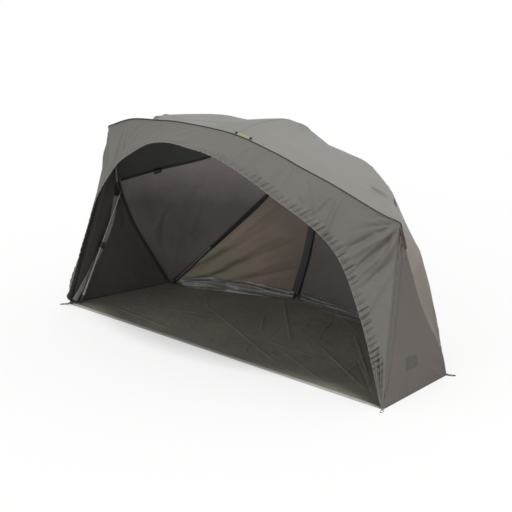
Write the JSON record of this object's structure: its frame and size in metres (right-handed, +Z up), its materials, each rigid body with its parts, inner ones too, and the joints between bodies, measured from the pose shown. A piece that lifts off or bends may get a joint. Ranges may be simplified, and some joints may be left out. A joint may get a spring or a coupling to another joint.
{
  "type": "fishing umbrella",
  "caption": "Oval fishing umbrella shelter with folding ribs, telescopic rear legs and storm poles, cloth roof and walls, a peaked visor and a groundsheet.",
  "frame": {"origin": "middle of the footprint, on the ground", "axes": "+X across the opening, to the right seen from the front; +Y from the open front to the back; +Z up"},
  "size_m": [2.5628, 1.3024, 1.3255],
  "materials": {
    "canopy_cloth": "matt coated polyester",
    "visor_cloth": "matt coated polyester",
    "wall_cloth": "matt coated polyester",
    "ground_cloth": "coated groundsheet cloth",
    "webbing": "black woven webbing",
    "olive_tape": "olive woven tape",
    "rod_metal": "dark painted steel",
    "tube_metal": "satin anodised",
    "black_plastic": "matt moulded",
    "steel": "plain"
  },
  "bodies": {
    "root": {"crown_boss": "black_plastic", "crown_cap": "black_plastic", "hinge_ring": "steel", "front_piping": "webbing", "ridge_tab": "olive_tape", "groundsheet": "ground_cloth", "front_visor": "visor_cloth", "rear_centre_wall": "wall_cloth", "left_roof": "canopy_cloth", "left_back_wall": "wall_cloth", "left_rear_wall": "wall_cloth", "left_side_wall": "wall_cloth", "right_roof": "canopy_cloth", "right_back_wall": "wall_cloth", "right_rear_wall": "wall_cloth", "right_side_wall": "wall_cloth", "left_front_loop": "webbing", "left_back_loop": "webbing", "left_pole_lower_tube": "tube_metal", "left_pole_clamp": "black_plastic", "left_pole_spike": "black_plastic", "right_front_loop": "webbing", "right_back_loop": "webbing", "right_pole_lower_tube": "tube_metal", "right_pole_clamp": "black_plastic", "right_pole_spike": "black_plastic"},
    "front_rib": {"front_rib_knuckle": "black_plastic", "front_rib_rod": "rod_metal"},
    "lock_button": {"lock_button": "steel"},
    "left_shoulder_rib": {"left_shoulder_knuckle": "black_plastic", "left_shoulder_rod": "rod_metal", "left_shoulder_elbow": "black_plastic", "left_shoulder_drop_tube": "tube_metal", "left_shoulder_socket": "black_plastic"},
    "left_back_rib": {"left_back_knuckle": "black_plastic", "left_back_rod": "rod_metal"},
    "left_leg": {"left_back_leg": "tube_metal", "left_back_foot": "black_plastic"},
    "left_rear_rib": {"left_rear_knuckle": "black_plastic", "left_rear_rod": "rod_metal", "left_rear_foot": "black_plastic"},
    "left_upper_pole": {"left_pole_head": "black_plastic", "left_pole_upper_tube": "tube_metal"},
    "left_lever": {"left_pole_lever": "black_plastic"},
    "right_shoulder_rib": {"right_shoulder_knuckle": "black_plastic", "right_shoulder_rod": "rod_metal", "right_shoulder_elbow": "black_plastic", "right_shoulder_drop_tube": "tube_metal", "right_shoulder_socket": "black_plastic"},
    "right_back_rib": {"right_back_knuckle": "black_plastic", "right_back_rod": "rod_metal"},
    "right_leg": {"right_back_leg": "tube_metal", "right_back_foot": "black_plastic"},
    "right_rear_rib": {"right_rear_knuckle": "black_plastic", "right_rear_rod": "rod_metal", "right_rear_foot": "black_plastic"},
    "right_upper_pole": {"right_pole_head": "black_plastic", "right_pole_upper_tube": "tube_metal"},
    "right_lever": {"right_pole_lever": "black_plastic"}
  },
  "joints": [
    {"name": "canopy_fold", "type": "hinge", "parent": "root", "child": "left_shoulder_rib", "pos_m": [-0.03065, 0.23743, 1.2139], "axis": [0.1505, -0.7573, 0.6355], "range_deg": [0, 60], "deforming": ["groundsheet", "front_visor", "rear_centre_wall", "left_roof", "left_back_wall", "left_rear_wall", "left_side_wall", "right_roof", "right_back_wall", "right_rear_wall", "right_side_wall", "front_piping", "ridge_tab"]},
    {"name": "right_shoulder_rib_fold", "type": "hinge", "parent": "root", "child": "right_shoulder_rib", "pos_m": [0.03065, 0.23743, 1.2139], "axis": [0.1505, 0.7573, -0.6355], "range_deg": [0, 60.5], "deforming": ["groundsheet", "front_visor", "rear_centre_wall", "left_roof", "left_back_wall", "left_rear_wall", "left_side_wall", "right_roof", "right_back_wall", "right_rear_wall", "right_side_wall", "front_piping", "ridge_tab"]},
    {"name": "front_rib_fold", "type": "hinge", "parent": "root", "child": "front_rib", "pos_m": [0, 0.21726, 1.23083], "axis": [1, 0, 0], "range_deg": [0, 57.5], "deforming": ["groundsheet", "front_visor", "rear_centre_wall", "left_roof", "left_back_wall", "left_rear_wall", "left_side_wall", "right_roof", "right_back_wall", "right_rear_wall", "right_side_wall", "front_piping", "ridge_tab"]},
    {"name": "left_back_rib_fold", "type": "hinge", "parent": "root", "child": "left_back_rib", "pos_m": [-0.02491, 0.25514, 1.19904], "axis": [-0.5953, -0.6155, 0.5165], "range_deg": [0, 48.5], "deforming": ["groundsheet", "front_visor", "rear_centre_wall", "left_roof", "left_back_wall", "left_rear_wall", "left_side_wall", "right_roof", "right_back_wall", "right_rear_wall", "right_side_wall", "front_piping", "ridge_tab"]},
    {"name": "right_back_rib_fold", "type": "hinge", "parent": "root", "child": "right_back_rib", "pos_m": [0.02491, 0.25514, 1.19904], "axis": [-0.5953, 0.6155, -0.5165], "range_deg": [0, 48.5], "deforming": ["groundsheet", "front_visor", "rear_centre_wall", "left_roof", "left_back_wall", "left_rear_wall", "left_side_wall", "right_roof", "right_back_wall", "right_rear_wall", "right_side_wall", "front_piping", "ridge_tab"]},
    {"name": "left_rear_rib_fold", "type": "hinge", "parent": "root", "child": "left_rear_rib", "pos_m": [-0.01137, 0.2631, 1.19236], "axis": [-0.9303, -0.281, 0.2358], "range_deg": [0, 55.7], "deforming": ["groundsheet", "front_visor", "rear_centre_wall", "left_roof", "left_back_wall", "left_rear_wall", "left_side_wall", "right_roof", "right_back_wall", "right_rear_wall", "right_side_wall", "front_piping", "ridge_tab"]},
    {"name": "right_rear_rib_fold", "type": "hinge", "parent": "root", "child": "right_rear_rib", "pos_m": [0.01137, 0.2631, 1.19236], "axis": [-0.9303, 0.281, -0.2358], "range_deg": [0, 55.7], "deforming": ["groundsheet", "front_visor", "rear_centre_wall", "left_roof", "left_back_wall", "left_rear_wall", "left_side_wall", "right_roof", "right_back_wall", "right_rear_wall", "right_side_wall", "front_piping", "ridge_tab"]},
    {"name": "left_leg_slide", "type": "slide", "parent": "left_back_rib", "child": "left_leg", "axis": [0.6739, 0.1622, 0.7208], "range_m": [0, 0.235]},
    {"name": "left_pole_slide", "type": "slide", "parent": "root", "child": "left_upper_pole", "axis": [-0.1165, -0.3588, -0.9261], "range_m": [0, 0.2]},
    {"name": "left_lever_turn", "type": "hinge", "parent": "root", "child": "left_lever", "pos_m": [-1.14558, -0.18894, 0.34886], "axis": [0.2266, -0.9175, 0.327], "range_deg": [0, 100]},
    {"name": "right_leg_slide", "type": "slide", "parent": "right_back_rib", "child": "right_leg", "axis": [-0.6739, 0.1622, 0.7208], "range_m": [0, 0.235]},
    {"name": "right_pole_slide", "type": "slide", "parent": "root", "child": "right_upper_pole", "axis": [0.1165, -0.3588, -0.9261], "range_m": [0, 0.2]},
    {"name": "right_lever_turn", "type": "hinge", "parent": "root", "child": "right_lever", "pos_m": [1.14558, -0.18894, 0.34886], "axis": [0.2266, 0.9175, -0.327], "range_deg": [0, 100]},
    {"name": "lock_press", "type": "slide", "parent": "root", "child": "lock_button", "axis": [-0.6428, 0.5868, -0.4924], "range_m": [0, 0.0029], "stiffness_N_per_m": 600}
  ],
  "couplings": [
    {"joint": "right_shoulder_rib_fold", "follows": "canopy_fold", "ratio": 1},
    {"joint": "front_rib_fold", "follows": "canopy_fold", "ratio": 0.95},
    {"joint": "left_back_rib_fold", "follows": "canopy_fold", "ratio": 0.8},
    {"joint": "right_back_rib_fold", "follows": "canopy_fold", "ratio": 0.8},
    {"joint": "left_rear_rib_fold", "follows": "canopy_fold", "ratio": 0.92},
    {"joint": "right_rear_rib_fold", "follows": "canopy_fold", "ratio": 0.92}
  ]
}
